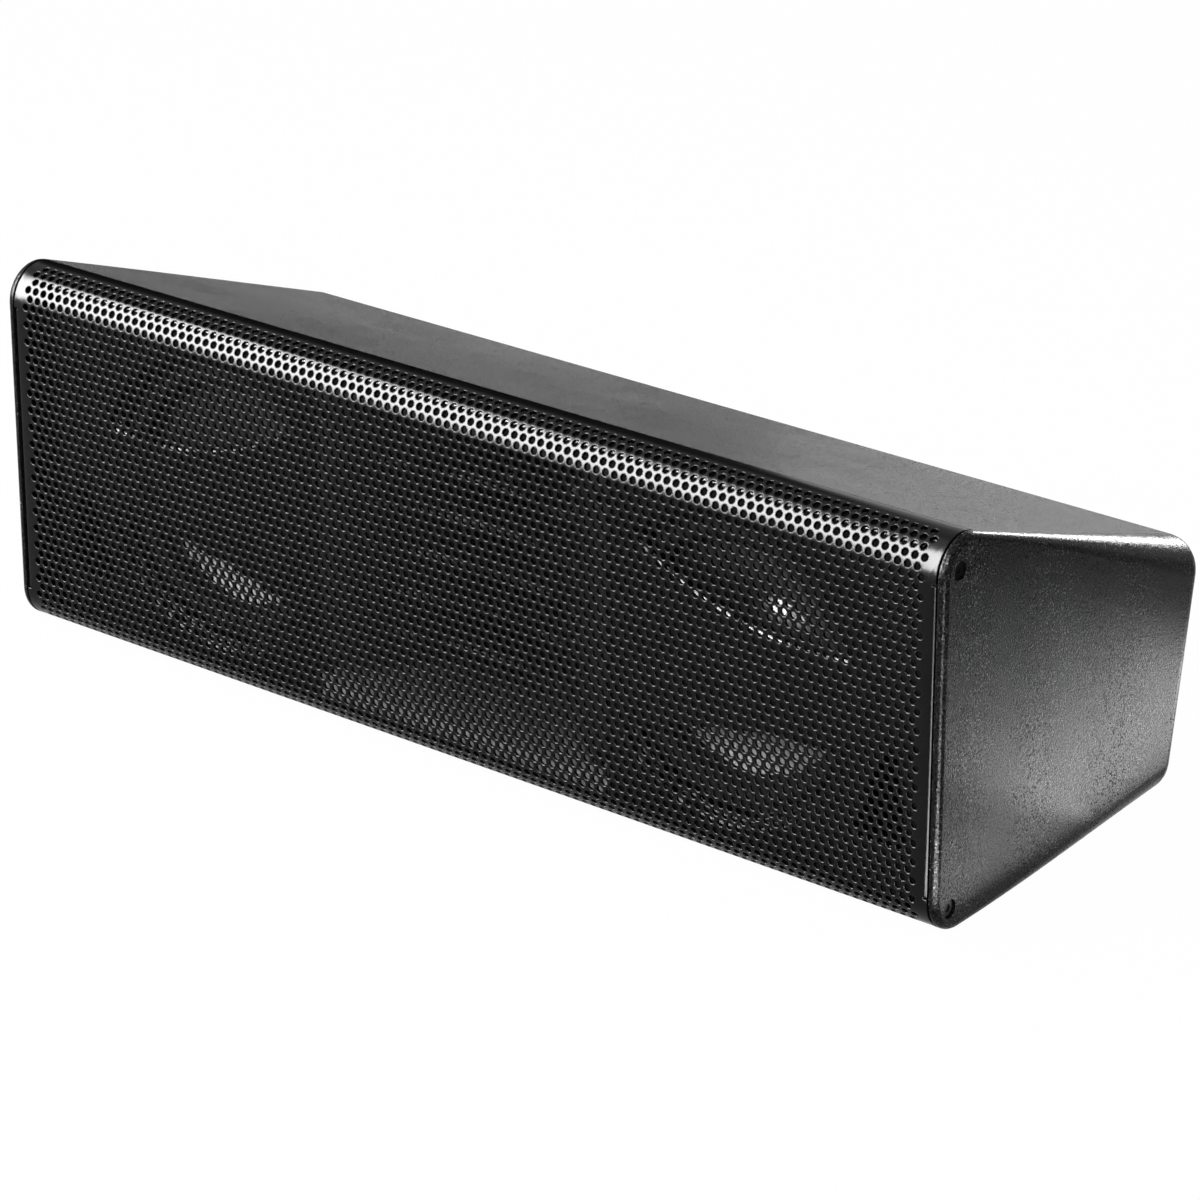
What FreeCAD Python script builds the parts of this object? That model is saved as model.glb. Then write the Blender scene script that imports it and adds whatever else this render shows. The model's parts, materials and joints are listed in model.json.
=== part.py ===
import FreeCAD
import Part
import math
import os

# Compact two-way loudspeaker: a cast wedge cabinet with a wrap-round perforated grille.
# Millimetres. X runs to the right seen from the front, Y from the front plane to the rear, Z up.

# Cabinet form
width = 436.0
front_height = 150.6
base_depth = 150.0
top_slope = 19.3
rear_lean = 9.7
side_draft = 1.0
front_round = 14.0
rear_round = 7.0
side_round_front = 2.5
side_round_rear = 13.0
wall = 4.0
cheek = 3.1
inner_round = 1.5

# Front stack, measured back from the front plane
sheet = 1.2
grille_gap = 0.9
baffle_front = 9.0
baffle_skin = 4.0
baffle_back = 18.0
ledge_thickness = 6.0
ledge_height = 3.5
ledge_width = 9.0
baffle_margin = 0.6
boss_length = 12.0
boss_radius = 4.5

# Grille openings that stand for the fine perforation
opening_pitch = 22.0
opening_radius = 8.2
opening_columns = 19
opening_rows = 6
flange_depth = 6.0
flange_end = 1.5

# Cheek screws and the blocks that take them
block_size = 11.0
block_front = 5.0
block_back = 13.4
block_inset = 5.0
block_play = 0.2
cheek_screw_depth = 8.4
cheek_screw_low = 9.5
cheek_screw_rise = 2.6
counterbore_radius = 3.5
counterbore_depth = 2.0

# Woofers, one each side of the waveguide
woofer_offset = 120.0
woofer_height = 70.0
woofer_clearance = 1.0
window_lap = 4.0
window_round = 2.0
window_soften = 1.2
frame_lap = 6.0
frame_flange = 2.5
frame_wall = 2.2
frame_depth = 32.0
frame_plate = 3.0
frame_windows = 6
frame_window_width = 22.0
gasket = 1.0
surround_play = 0.5
roll_half = 3.5
roll_wall = 0.8
roll_overhang = 1.5
lip = 2.5
cone_drop = 4.0
cone_wall = 0.8
cone_depth = 18.5
coil_radius = 13.2
former_wall = 0.5
winding = 0.7
winding_length = 10.0
coil_gap = 0.4
glue = 0.2
cap_radius = 17.0
cap_rise = 6.0
spider_level = 23.5
spider_cup = 3.0
spider_wall = 0.6
spider_wave = 1.6
spider_folds = 7
spider_rim = 3.4
spider_play = 3.4
top_plate = 5.0
top_plate_radius = 34.0
magnet_height = 12.0
magnet_radius = 36.0
magnet_bore = 18.0
back_plate = 5.0

# Wing that crosses each woofer, in shares of the window's radius: places across of the inner end, the middle
# and the outer end of its curved edges, and the heights of the upper and the lower edge there
wing_across = (-0.8, 0.07, 1.01)
wing_top = (0.78, 0.374, 0.34)
wing_bottom = (-0.62, -0.374, -0.3)

# Triangular reflex port at each end: corners across and up
port_corners = ((192.0, 68.0), (175.0, 25.0), (198.0, 25.0))
port_round = 3.0
port_wall = 2.5
port_length = 45.0

# Waveguide with vanes, and the tweeters behind it: depth, half width and share of the flare in height
horn_flare = ((9.0, 61.0, 1.0), (13.0, 54.0, 0.82), (20.0, 47.0, 0.55), (58.0, 14.0, 0.0))
horn_wall = 3.0
horn_flange = 68.4
horn_room = 3.5
horn_lip = 4.5
throat_room = 3.0
horn_clearance = 0.4
horn_back_plate = 4.0
horn_back_lap = 4.5
vane_count = 5
vane_margin = 13.5
vane_wall = 2.0
vane_reach = 60.0
vane_edge = 12.0
vane_middle = 25.0
tweeter_gap = 1.0
tweeter_room = 2.4
tweeter_plate = 6.0
dome_land = 9.5
dome_play = 1.0
dome_rise = 5.0
dome_wall = 0.5
dome_rim = 3.2
motor_inset = 6.0
motor_depth = 15.0
tweeter_screw_inset = 2.9

# Screws: shank radius, head radius, head height
fine_screw = (1.5, 2.6, 1.6)
cover_screw = (1.5, 3.2, 1.0)
screws_around = 4
first_screw = 45.0
hole_clearance = 0.1
hole_spare = 0.5
hex_share = 0.5
baffle_screw_levels = (30.0, 70.0, 110.0)
baffle_screw_inset = 7.0
thread_depth = 8.0
short_thread = 4.0

# Rear terminal panel, on the leaning rear wall
terminal_level = 46.0
panel_width = 90.0
panel_height = 50.0
panel_plate = 2.0
panel_gasket = 1.0
panel_play = 0.3
panel_rim = 7.0
panel_backing = 5.0
panel_border = 5.0
panel_screw_inset = 4.5
terminal_width = 44.0
terminal_height = 16.0
terminal_depth = 20.0
terminal_ways = 4
terminal_pitch = 10.0
wire_hole = 1.6
wire_hole_depth = 8.0
clamp_radius = 2.0
clamp_height = 4.0
clamp_drop = 1.0
slot_half = 0.3
slot_depth = 0.5

# Crossover on the floor behind the tweeters
board_width = 110.0
board_depth = 52.0
board_gap = 4.0
board_wall = 1.6
standoff_height = 6.0
standoff_radius = 3.5
board_inset = 6.0
inductor_radius = 15.0
inductor_bore = 6.0
inductor_height = 12.0
capacitor_radius = 6.0
capacitor_length = 30.0
resistor_size = (28.0, 9.0, 9.0)

# Threaded inserts in the underside, and damping pads on the floor
insert_spacing = 140.0
insert_depth = 74.0
insert_bore = 2.5
insert_radius = 4.5
insert_height = 12.0
insert_boss = 8.0
pad_width = 110.0
pad_depth = 50.0
pad_height = 12.0
pad_start = 80.0
pad_gap = 8.0

# Making: how far a cutting tool runs past a face, and how near an edge lies to count as on a face
overcut = 1.0
near = 0.05

Vector = FreeCAD.Vector
ACROSS = Vector(1, 0, 0)
BACK = Vector(0, 1, 0)
UP = Vector(0, 0, 1)

half_width = width / 2
slope_fall = math.tan(math.radians(top_slope))
lean_run = math.tan(math.radians(rear_lean))
draft_run = math.tan(math.radians(side_draft))
rear_top = (front_height - base_depth * slope_fall) / (1 + lean_run * slope_fall)
rear_reach = base_depth + rear_top * lean_run
curl_centre_top = front_height - front_round / math.tan(math.radians((90 - top_slope) / 2))
curl_end = front_round * (1 + math.sin(math.radians(top_slope)))
ledge_front = curl_end + grille_gap
bay_half = half_width - cheek
grille_half = bay_half - grille_gap
floor = wall
woofer_face = baffle_back + gasket
horn_centre = woofer_height
horn_end = horn_flare[-1][0]


def ceiling(depth):
    """Height of the cabinet's inner top face at a depth."""
    return front_height - depth * slope_fall - wall / math.cos(math.radians(top_slope))


def room(depth, low, high):
    """Height free above and below the drivers' axis at a depth, less what the walls carry there."""
    return min(woofer_height - floor - low, ceiling(depth) - high - woofer_height)


# Drivers and waveguide fill the height between the floor and the sloping top
cheek_screw_high = curl_centre_top + cheek_screw_rise
frame_radius = room(ledge_front, ledge_height, 2 * ledge_height) - woofer_clearance
window_radius = frame_radius - window_lap
recess_radius = frame_radius - frame_lap
roll_radius = recess_radius - surround_play - lip - roll_half
frame_bore = roll_radius + roll_half - roll_overhang
basket_foot = frame_bore + frame_wall / 2
woofer_screw_circle = (frame_radius + recess_radius) / 2
horn_flange_height = room(horn_flare[1][0], 0, 0) - horn_room
mouth_high = horn_flange_height - horn_lip
throat_high = room(horn_end, 0, 0) - 2 * horn_wall - throat_room
horn_gain = mouth_high - throat_high
horn_stations = [(depth, half, throat_high + share * horn_gain) for depth, half, share in horn_flare]
vane_pitch = 2 * (throat_high - vane_margin) / (vane_count - 1)
tweeter_radius = (room(horn_end + tweeter_plate, 0, 0) - tweeter_room - tweeter_gap / 2) / 2
tweeter_spread = tweeter_radius + tweeter_gap / 2
dome_radius = tweeter_radius - dome_land
motor_radius = tweeter_radius - motor_inset
board_front = base_depth - wall - board_gap - board_depth
pad_front = base_depth - wall - pad_gap - pad_depth


def box(x0, x1, y0, y1, z0, z1):
    """Block between two corners."""
    return Part.makeBox(x1 - x0, y1 - y0, z1 - z0, Vector(x0, y0, z0))


def rounded_outline(corners, radii):
    """Closed wire through the corners, each rounded by its own radius."""
    stops = []
    for i, corner in enumerate(corners):
        to_last = (corners[i - 1] - corner).normalize()
        to_next = (corners[(i + 1) % len(corners)] - corner).normalize()
        half_angle = to_last.getAngle(to_next) / 2
        reach = radii[i] / math.tan(half_angle)
        middle = (to_last + to_next).normalize() * (radii[i] / math.sin(half_angle) - radii[i])
        stops.append((corner + to_last * reach, corner + middle, corner + to_next * reach))
    edges = []
    for i, (start, middle, end) in enumerate(stops):
        if radii[i] > 0:
            edges.append(Part.Arc(start, middle, end).toShape())
        edges.append(Part.LineSegment(end, stops[(i + 1) % len(stops)][0]).toShape())
    return Part.Wire(edges)


def prism(corners, radii, along):
    """Rounded outline pushed along a direction."""
    return Part.Face(rounded_outline(corners, radii)).extrude(along)


def tube(outer, inner, x, z, y0, y1):
    """Ring about an axis that runs front to back."""
    ring = Part.makeCylinder(outer, y1 - y0, Vector(x, y0, z), BACK)
    if inner > 0:
        ring = ring.cut(Part.makeCylinder(inner, y1 - y0, Vector(x, y0, z), BACK))
    return ring


def turned(points, x, z):
    """Outline of radius and depth pairs, turned about an axis that runs front to back."""
    outline = [Vector(x + radius, depth, z) for radius, depth in points]
    face = Part.Face(Part.makePolygon(outline + outline[:1]))
    return face.revolve(Vector(x, 0, z), BACK, 360)


def joined(shapes):
    """One solid out of touching shapes."""
    return shapes[0].multiFuse(shapes[1:]).removeSplitter()


def screw(seat, way, size, length):
    """Socket screw: its head sits at seat, and its shank runs along way."""
    shank_radius, head_radius, head_height = size
    head = Part.makeCylinder(head_radius, head_height, seat, way * -1)
    shank = Part.makeCylinder(shank_radius, length, seat, way)
    side = way.cross(UP if abs(way.z) < abs(way.x) + abs(way.y) else ACROSS).normalize()
    turn = FreeCAD.Rotation(way, 60)
    corners = [side * (head_radius * hex_share)]
    for _ in range(5):
        corners.append(turn.multVec(corners[-1]))
    top = seat - way * head_height
    corners = [top + corner for corner in corners]
    socket = Part.Face(Part.makePolygon(corners + corners[:1])).extrude(way * (head_height * hex_share))
    return head.cut(socket).fuse(shank).removeSplitter()


def screw_hole(seat, way, size, length):
    """Clearance hole for the shank of a screw."""
    return Part.makeCylinder(size[0] + hole_clearance, length, seat, way)


def cabinet_profile(front_radius, inset):
    """Side view of the cabinet with rounded front edges, drawn in by an inset."""
    places = [(0, 0), (base_depth, 0), (rear_reach, rear_top), (0, front_height)]
    corners = [Vector(0, y, z) for y, z in places]
    face = Part.Face(rounded_outline(corners, [front_radius, 0, 0, front_radius]))
    if inset:
        face = face.makeOffset2D(-inset, 2)
    return face


def drafted(face, half_front):
    """Side view pushed across the width, its ends drawn in towards the rear by the draft."""
    body = face.extrude(ACROSS * width)
    body.translate(ACROSS * -half_width)
    far = rear_reach + wall
    half_rear = half_front - far * draft_run
    plan = [(-half_front, 0), (half_front, 0), (half_rear, far), (-half_rear, far)]
    corners = [Vector(x, y, 0) for x, y in plan]
    return body.common(prism(corners, [0] * len(corners), UP * front_height))


def side_edges(solid, half_front):
    """Edges of the two end faces, apart from those at the rear: index and edge."""
    found = []
    for i, edge in enumerate(solid.Edges, 1):
        ends = [vertex.Point for vertex in edge.Vertexes]
        on_side = [abs(abs(p.x) - half_front + p.y * draft_run) < near for p in ends]
        if all(on_side) and ends[0].x * ends[-1].x > 0 and min(p.y for p in ends) < base_depth / 2:
            found.append((i, edge))
    return found


def growing_round(solid, half_front, front_radius, rear_radius, round_front):
    """Rounds the edges of the end faces, with a radius that grows along the long edges to the rear.

    The edges of one end run on smoothly from the upright front edge, which is listed first, so its
    direction says which end of each long edge comes first."""
    document = FreeCAD.newDocument()
    base = document.addObject("Part::Feature", "base")
    base.Shape = solid
    rounded = document.addObject("Part::Fillet", "rounded")
    rounded.Base = base
    long_edges = []
    edges = []
    rising = {}
    for i, edge in side_edges(solid, half_front):
        start = edge.valueAt(edge.FirstParameter)
        end = edge.valueAt(edge.LastParameter)
        if abs(end.y - start.y) > base_depth / 2:
            long_edges.append((i, start, end))
        elif round_front:
            upright = abs(end.y - start.y) < near
            edges.insert(0 if upright else len(edges), (i, front_radius, front_radius))
            if upright:
                rising[start.x > 0] = end.z > start.z
    for i, start, end in long_edges:
        is_top = start.z + end.z > rear_top
        to_rear = is_top == rising[start.x > 0] if round_front else end.y > start.y
        edges.append((i, front_radius, rear_radius) if to_rear else (i, rear_radius, front_radius))
    rounded.Edges = edges
    document.recompute()
    result = rounded.Shape.copy()
    FreeCAD.closeDocument(document.Name)
    return result


def rear_edges(solid, shift):
    """Edges around the leaning rear face, which is drawn in by a shift."""
    found = []
    for edge in solid.Edges:
        points = [edge.valueAt(edge.FirstParameter), edge.valueAt(edge.LastParameter)]
        if all(abs(p.y - p.z * lean_run - base_depth + shift) < near for p in points):
            found.append(edge)
    return found


def rear_placement(level):
    """Local frame on the rear face: x to the right seen from behind, y up the face, z outwards."""
    lean = math.radians(rear_lean)
    up = Vector(0, math.sin(lean), math.cos(lean))
    out = Vector(0, math.cos(lean), -math.sin(lean))
    right = up.cross(out)
    place = FreeCAD.Matrix(
        right.x, up.x, out.x, 0,
        right.y, up.y, out.y, base_depth + level * lean_run,
        right.z, up.z, out.z, level,
        0, 0, 0, 1)
    return FreeCAD.Placement(place)


def on_rear(shape):
    """Moves a shape from the local frame of the rear panel to its place."""
    shape.Placement = rear_placement(terminal_level).multiply(shape.Placement)
    return shape


def plate(wide, high, z0, z1):
    """Centred block in the local frame of the rear panel."""
    return box(-wide / 2, wide / 2, -high / 2, high / 2, z0, z1)


def panel_screw_places():
    """Corner screws of the rear panel, in its local frame."""
    across = panel_width / 2 - panel_screw_inset
    high = panel_height / 2 - panel_screw_inset
    return [(x, y) for x in (-across, across) for y in (-high, high)]


def cheek_screw_places():
    """Side, direction and centre of each cheek screw at the bottom of its counterbore."""
    places = []
    for side in (-1, 1):
        seat = side * (half_width - cheek_screw_depth * draft_run - counterbore_depth)
        for level in (cheek_screw_low, cheek_screw_high):
            places.append((side, Vector(seat, cheek_screw_depth, level)))
    return places


def baffle_screw_places():
    """Screws along the two ends of the baffle."""
    across = bay_half - baffle_screw_inset
    return [(side * across, level) for side in (-1, 1) for level in baffle_screw_levels]


def insert_places():
    """Threaded inserts in the underside."""
    return [(side * insert_spacing / 2, insert_depth) for side in (-1, 1)]


def board_screw_places():
    """Corner screws of the crossover board."""
    across = board_width / 2 - board_inset
    depths = (board_front + board_inset, board_front + board_depth - board_inset)
    return [(x, y) for x in (-across, across) for y in depths]


def cabinet_shell():
    """Cast shell: rounded wedge, hollow, open at the front between two cheeks."""
    outer = drafted(cabinet_profile(front_round, 0), half_width)
    outer = growing_round(outer, half_width, side_round_front, side_round_rear, True)
    outer = outer.makeFillet(rear_round, rear_edges(outer, 0))
    rear_thickness = wall / math.cos(math.radians(rear_lean))
    hollow = drafted(cabinet_profile(0, wall), bay_half)
    hollow = growing_round(hollow, bay_half, inner_round, side_round_rear - wall, False)
    hollow = hollow.makeFillet(rear_round - wall, rear_edges(hollow, rear_thickness))
    bay = box(-bay_half, bay_half, -overcut, ledge_front, -overcut, front_height)
    ledge_end = ledge_front + ledge_thickness
    ledge = hollow.common(box(-half_width, half_width, ledge_front, ledge_end, 0, front_height))
    ledge_top = ceiling(ledge_front) - 2 * ledge_height
    ledge_half = bay_half - ledge_width
    ledge = ledge.cut(box(-ledge_half, ledge_half, 0, base_depth, floor + ledge_height, ledge_top))
    shell = outer.cut(hollow).cut(bay)
    additions = [ledge]
    for x, z in baffle_screw_places():
        boss = tube(boss_radius, 0, x, z, ledge_front, ledge_front + boss_length)
        additions.append(boss.common(hollow))
    for x, y in insert_places():
        additions.append(Part.makeCylinder(insert_boss, insert_height + floor, Vector(x, y, 0), UP))
    backing = panel_plate + panel_gasket + panel_backing
    border = 2 * panel_border
    additions.append(on_rear(plate(panel_width + border, panel_height + border, -backing, -wall / 2)))
    shell = joined([shell] + additions)
    cuts = []
    for side, seat in cheek_screw_places():
        way = ACROSS * side
        cuts.append(Part.makeCylinder(counterbore_radius, cheek, seat, way))
        cuts.append(screw_hole(seat + way * cheek, way * -1, cover_screw, 2 * cheek))
    for x, z in baffle_screw_places():
        seat = Vector(x, ledge_front - overcut, z)
        cuts.append(screw_hole(seat, BACK, fine_screw, overcut + thread_depth))
    for x, y in insert_places():
        cuts.append(Part.makeCylinder(insert_radius, insert_height, Vector(x, y, 0), UP))
    rebate = panel_plate + panel_gasket
    play = 2 * panel_play
    rim = 2 * panel_rim
    cuts.append(on_rear(plate(panel_width + play, panel_height + play, -rebate, wall)))
    cuts.append(on_rear(plate(panel_width - rim, panel_height - rim, -backing - overcut, 0)))
    for x, y in panel_screw_places():
        hole = screw_hole(Vector(x, y, -rebate), UP * -1, fine_screw, short_thread + hole_spare)
        cuts.append(on_rear(hole))
    return shell.cut(Part.makeCompound(cuts))


def grille():
    """Bent steel sheet between the cheeks, curled over at top and bottom, with flanges at both ends."""
    profile = cabinet_profile(front_round, 0).cut(cabinet_profile(front_round, sheet))
    body = profile.extrude(ACROSS * (2 * grille_half))
    body.translate(ACROSS * -grille_half)
    body = body.common(box(-width, width, -overcut, curl_end, -overcut, front_height))
    for side in (-1, 1):
        inner, outer = sorted((side * grille_half, side * (grille_half - sheet)))
        low, high = (front_round + flange_end, curl_centre_top - flange_end)
        body = body.fuse(box(inner, outer, 0, flange_depth, low, high))
    row_pitch = opening_pitch * math.sin(math.radians(60))
    centre = (front_round + curl_centre_top) / 2
    tools = []
    for row in range(opening_rows):
        level = centre + (row - (opening_rows - 1) / 2) * row_pitch
        columns = opening_columns - row % 2
        for column in range(columns):
            x = (column - (columns - 1) / 2) * opening_pitch
            tools.append(Part.makeCylinder(opening_radius, 2 * sheet, Vector(x, -sheet / 2, level), BACK))
    return body.removeSplitter().cut(Part.makeCompound(tools))


def corner_blocks():
    """Blocks in the four corners of the grille, which take the cheek screws."""
    blocks = []
    for side, seat in cheek_screw_places():
        inner, outer = sorted((side * bay_half, side * (bay_half - block_size)))
        low = block_inset
        high = front_round + flange_end - block_play
        if seat.z > front_height / 2:
            low = curl_centre_top - flange_end + block_play
            high = low + block_size - flange_end
        block = box(inner, outer, block_front, block_back, low, high)
        blocks.append(block.cut(screw_hole(seat, ACROSS * -side, cover_screw, thread_depth + cheek)))
    return blocks


def window(side, heights, past):
    """Opening above or below the wing of one woofer: a curved edge, the round rim and rounded corners."""
    places = []
    for across, height in zip(wing_across, heights):
        x = side * (woofer_offset + across * window_radius)
        places.append(Vector(x, 0, woofer_height + height * window_radius))
    far = woofer_height + past
    edges = [Part.Arc(*places).toShape()]
    stops = [places[2], Vector(places[2].x, 0, far), Vector(places[0].x, 0, far), places[0]]
    edges += [Part.LineSegment(a, b).toShape() for a, b in zip(stops, stops[1:])]
    beyond = Part.Face(Part.Wire(edges)).extrude(BACK * baffle_back)
    x = side * woofer_offset
    rim = tube(window_radius, 0, x, woofer_height, baffle_front - overcut, baffle_front + baffle_skin)
    rim.rotate(Vector(x, 0, woofer_height), BACK, 90)
    opening = rim.common(beyond)
    corners = [edge for edge in opening.Edges if max(edge.BoundBox.XLength, edge.BoundBox.ZLength) < near]
    return opening.makeFillet(window_round, corners)


def port_prism(side, grow, y0, y1):
    """Triangular prism of a reflex port, its outline grown by a wall."""
    corners = [Vector(side * x, y0, z) for x, z in port_corners]
    face = Part.Face(rounded_outline(corners, [port_round] * len(corners)))
    if grow:
        face = face.makeOffset2D(grow)
    return face.extrude(BACK * (y1 - y0))


def window_edges(solid):
    """Front edges of the windows and ports in the baffle."""
    found = []
    inner = horn_flange + 2 * horn_clearance
    outer = max(x for x, z in port_corners) + port_wall
    for edge in solid.Edges:
        extent = edge.BoundBox
        on_front = abs(extent.YMin - baffle_front) < near and abs(extent.YMax - baffle_front) < near
        if on_front and inner < abs(extent.Center.x) < outer:
            found.append(edge)
    return found


def front_baffle():
    """Moulded baffle: wings across the woofers, a rebated centre for the waveguide and two ports."""
    half = bay_half - baffle_margin
    top = ceiling(ledge_front) - baffle_margin
    body = box(-half, half, baffle_front, baffle_back, floor + baffle_margin, top)
    skin_back = baffle_front + baffle_skin
    port_end = baffle_back + port_length
    additions = []
    cuts = []
    for side in (-1, 1):
        x = side * woofer_offset
        additions.append(port_prism(side, port_wall, baffle_back - overcut, port_end))
        cuts.append(window(side, wing_top, frame_radius))
        cuts.append(window(side, wing_bottom, -frame_radius))
        cuts.append(tube(recess_radius, 0, x, woofer_height, skin_back, baffle_back + overcut))
        cuts.append(port_prism(side, 0, 0, port_end + overcut))
        length = short_thread + frame_flange + gasket + hole_spare
        for seat in woofer_screw_places(side):
            cuts.append(screw_hole(seat, BACK * -1, fine_screw, length))
    for side, seat in cheek_screw_places():
        low, high = (floor, front_round + flange_end + overcut)
        if seat.z > front_height / 2:
            low, high = (curl_centre_top - flange_end - overcut, front_height)
        inner, outer = sorted((side * half_width, side * (bay_half - block_size - overcut)))
        cuts.append(box(inner, outer, 0, block_back + baffle_margin, low, high))
    step = horn_stations[1]
    half = horn_flange + horn_clearance
    high = horn_flange_height + horn_clearance
    cuts.append(box(-half, half, 0, step[0], horn_centre - high, horn_centre + high))
    half = step[1] + horn_wall + horn_clearance
    high = step[2] + horn_wall + horn_clearance
    cuts.append(box(-half, half, 0, base_depth, horn_centre - high, horn_centre + high))
    length = overcut + short_thread + hole_spare
    for x, z in horn_screw_places():
        cuts.append(screw_hole(Vector(x, step[0] - overcut, z), BACK, fine_screw, length))
    for x, z in baffle_screw_places():
        cuts.append(screw_hole(Vector(x, 0, z), BACK, fine_screw, base_depth))
    baffle = joined([body] + additions).cut(Part.makeCompound(cuts))
    return baffle.makeFillet(window_soften, window_edges(baffle))


def baffle_gasket():
    """Flat frame between the baffle and the ledge of the cabinet."""
    half = bay_half - baffle_margin
    top = ceiling(ledge_front)
    body = box(-half, half, baffle_back, ledge_front, floor + baffle_margin, top - baffle_margin)
    hole_half = bay_half - ledge_width
    body = body.cut(box(-hole_half, hole_half, 0, base_depth, floor + ledge_height, top - 2 * ledge_height))
    for x, z in baffle_screw_places():
        body = body.cut(screw_hole(Vector(x, 0, z), BACK, fine_screw, base_depth))
    return body


def horn_loft(grow):
    """Solid through the stations of the waveguide, grown by a wall."""
    wires = []
    for depth, half, high in horn_stations:
        x, z = (half + grow, high + grow)
        corners = [(-x, -z), (x, -z), (x, z), (-x, z)]
        points = [Vector(x, depth, horn_centre + z) for x, z in corners]
        wires.append(Part.makePolygon(points + points[:1]))
    return Part.makeLoft(wires, True, True)


def horn_screw_places():
    """Corner screws of the waveguide flange."""
    across = (horn_flange + horn_stations[0][1]) / 2
    high = (horn_flange_height + horn_stations[0][2]) / 2 - 4 * fine_screw[1]
    return [(x, horn_centre + z) for x in (-across, across) for z in (-high, high)]


def waveguide():
    """Flared horn with curved horizontal vanes, a front flange and a back plate for the tweeters."""
    front, flange_back = horn_stations[0][0], horn_stations[1][0]
    cavity = horn_loft(0)
    body = horn_loft(horn_wall).common(box(-width, width, flange_back, horn_end, -width, width))
    high = horn_flange_height
    flange = box(-horn_flange, horn_flange, front, flange_back, horn_centre - high, horn_centre + high)
    half = tweeter_radius + horn_back_lap
    high = throat_high + 2 * horn_wall
    back = box(-half, half, horn_end - horn_back_plate, horn_end, horn_centre - high, horn_centre + high)
    body = joined([body, flange, back]).cut(cavity)
    ends = [Vector(-vane_reach, vane_edge, 0), Vector(vane_reach, vane_edge, 0)]
    arc = Part.Arc(ends[0], Vector(0, vane_middle, 0), ends[1]).toShape()
    stops = [ends[1], Vector(vane_reach, horn_end, 0), Vector(-vane_reach, horn_end, 0), ends[0]]
    sides = [Part.LineSegment(a, b).toShape() for a, b in zip(stops, stops[1:])]
    vane = Part.Face(Part.Wire([arc] + sides)).extrude(UP * vane_wall)
    vanes = []
    for i in range(vane_count):
        level = horn_centre + (i - (vane_count - 1) / 2) * vane_pitch - vane_wall / 2
        vanes.append(vane.translated(UP * level).common(cavity))
    body = joined([body] + vanes)
    for x, z in horn_screw_places():
        body = body.cut(screw_hole(Vector(x, front, z), BACK, fine_screw, horn_wall * 2))
        head_radius, head_height = fine_screw[1:]
        body = body.cut(tube(head_radius + hole_clearance, 0, x, z, front - overcut, front + head_height))
    for level in tweeter_levels():
        for seat in tweeter_screw_places(level):
            body = body.cut(screw_hole(seat, BACK * -1, fine_screw, tweeter_plate + short_thread))
    return body


def tweeter_levels():
    """Heights of the lower and upper tweeter."""
    return [horn_centre - tweeter_spread, horn_centre + tweeter_spread]


def around(x, z, depth, circle):
    """Screws on a circle about an axis that runs front to back."""
    angles = [math.radians(first_screw + 360 * i / screws_around) for i in range(screws_around)]
    return [Vector(x + circle * math.cos(a), depth, z + circle * math.sin(a)) for a in angles]


def tweeter_screw_places(level):
    """Screw seats on the back of a tweeter's faceplate."""
    return around(0, level, horn_end + tweeter_plate, tweeter_radius - tweeter_screw_inset)


def woofer_screw_places(side):
    """Screw seats on the back of a woofer's flange."""
    return around(side * woofer_offset, woofer_height, woofer_face + frame_flange, woofer_screw_circle)


def tweeter(level):
    """Pieces of one dome tweeter by name."""
    front = horn_end
    seat = front + tweeter_plate
    faceplate = tube(tweeter_radius, dome_radius + dome_play, 0, level, front, seat)
    for place in tweeter_screw_places(level):
        faceplate = faceplate.cut(screw_hole(place, BACK * -1, fine_screw, tweeter_plate))
    ball = (dome_radius ** 2 + dome_rise ** 2) / (2 * dome_rise)
    centre = Vector(0, seat + ball - dome_rise, level)
    cap = Part.makeSphere(ball, centre).cut(Part.makeSphere(ball - dome_wall, centre))
    cap = cap.common(tube(tweeter_radius, 0, 0, level, front, seat + dome_wall))
    rim = tube(dome_radius + dome_rim, dome_radius - 2 * dome_wall, 0, level, seat, seat + dome_wall)
    motor = tube(motor_radius, 0, 0, level, seat + dome_wall, seat + motor_depth)
    motor = motor.cut(tube(dome_radius, dome_radius - dome_rim, 0, level, 0, seat + motor_depth / 2))
    length = tweeter_plate + short_thread - hole_spare
    screws = [screw(place, BACK * -1, fine_screw, length) for place in tweeter_screw_places(level)]
    return {
        "faceplate": faceplate,
        "dome": joined([cap, rim]),
        "motor": motor,
        "screws": Part.makeCompound(screws),
    }


def basket_radius(depth):
    """Inner radius of a basket's cone at a depth."""
    share = (depth - woofer_face - frame_flange) / (frame_depth - frame_flange)
    return basket_foot + (top_plate_radius - basket_foot) * share


def spider_seat():
    """Depth and inner radius of the ledge that carries a spider."""
    depth = baffle_back + spider_level + spider_wall
    return depth, basket_radius(depth) - spider_rim - spider_play


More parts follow.
